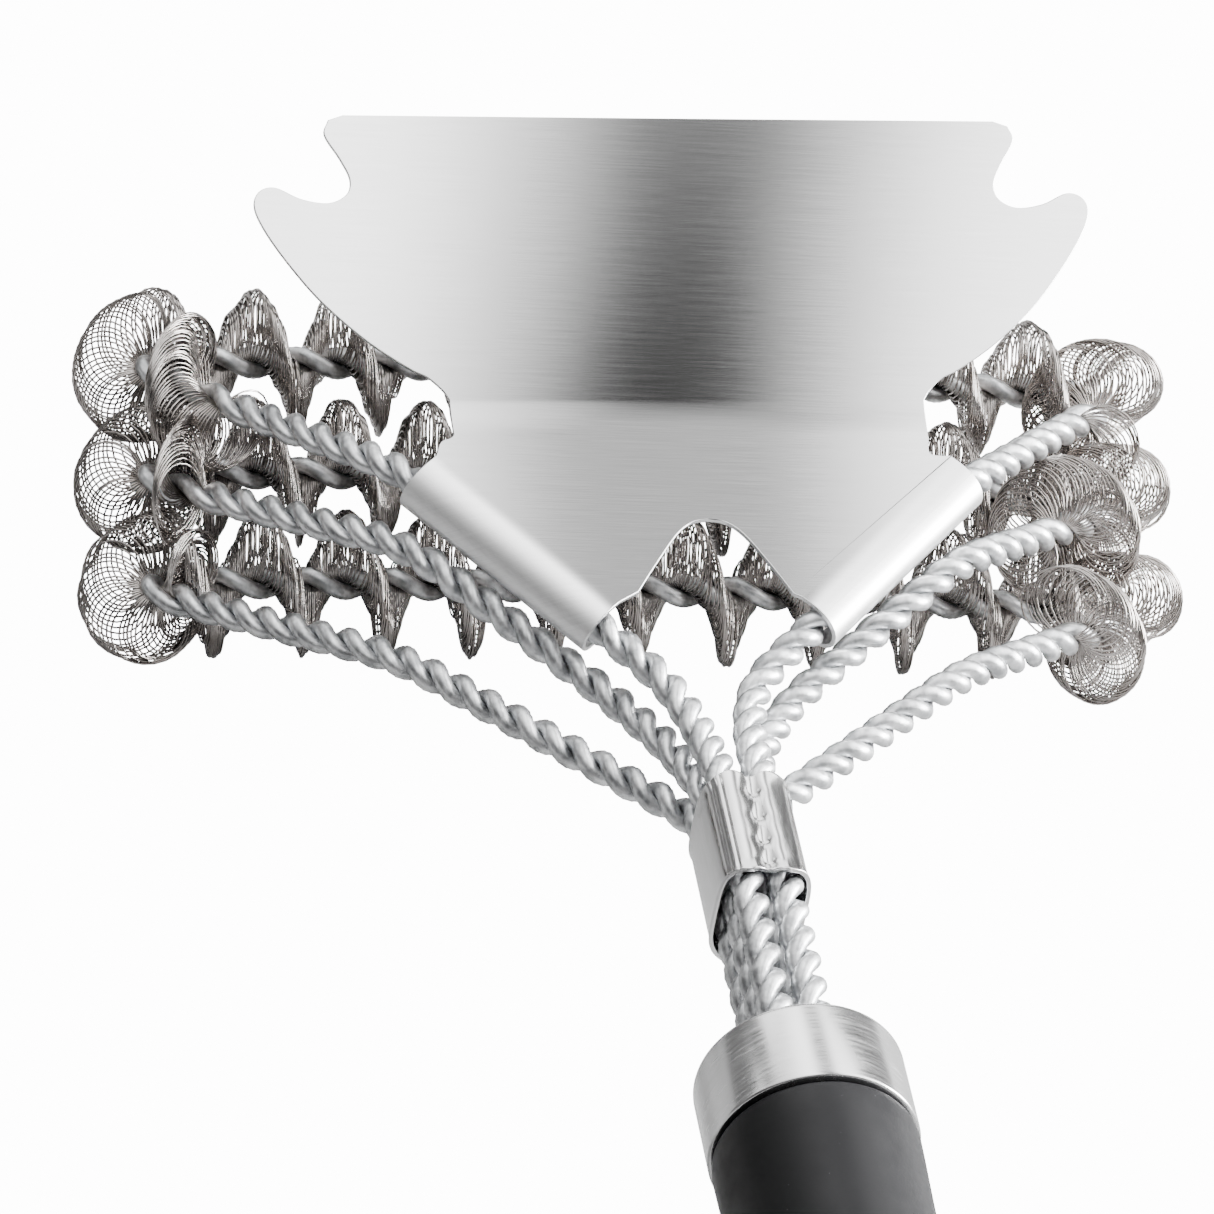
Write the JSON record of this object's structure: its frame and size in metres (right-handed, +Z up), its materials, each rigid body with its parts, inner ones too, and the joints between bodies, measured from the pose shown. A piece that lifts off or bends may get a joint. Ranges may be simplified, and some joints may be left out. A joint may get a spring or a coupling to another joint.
{
  "type": "grill cleaning brush",
  "caption": "Long-handled grill brush: coil-covered twisted wire loops in a fan, a bent scraper plate hooked on the upper loop, a crimp sleeve, collar and round grip.",
  "frame": {"origin": "centre of the bounding box's floor, with the brush lying on its lower coil and the handle's end", "axes": "+Y along the brush towards the head, +Z up towards the scraper's side, X across the head"},
  "size_m": [0.1786, 0.4754, 0.0827],
  "materials": {
    "galvanized_wire": "dull galvanized, satin",
    "spring_steel": "bright drawn wire",
    "brushed_sheet_steel": "brushed along X",
    "bright_steel": "bright, lightly scratched",
    "black_plastic": "satin moulded"
  },
  "bodies": {
    "brush": {"upper_loop_wire_a": "galvanized_wire", "upper_loop_wire_b": "galvanized_wire", "middle_loop_wire_a": "galvanized_wire", "middle_loop_wire_b": "galvanized_wire", "lower_loop_wire_a": "galvanized_wire", "lower_loop_wire_b": "galvanized_wire", "upper_coil": "spring_steel", "middle_coil": "spring_steel", "lower_coil": "spring_steel", "scraper_plate": "brushed_sheet_steel", "crimp_sleeve": "bright_steel", "collar": "bright_steel", "handle": "black_plastic", "end_cap": "black_plastic"},
    "ring": {"hanging_ring": "bright_steel"}
  },
  "joints": [
    {"name": "ring_swing", "type": "hinge", "parent": "brush", "child": "ring", "pos_m": [0, -0.21294, 0.0143], "axis": [1, 0, 0], "range_deg": [-125, 75]}
  ]
}
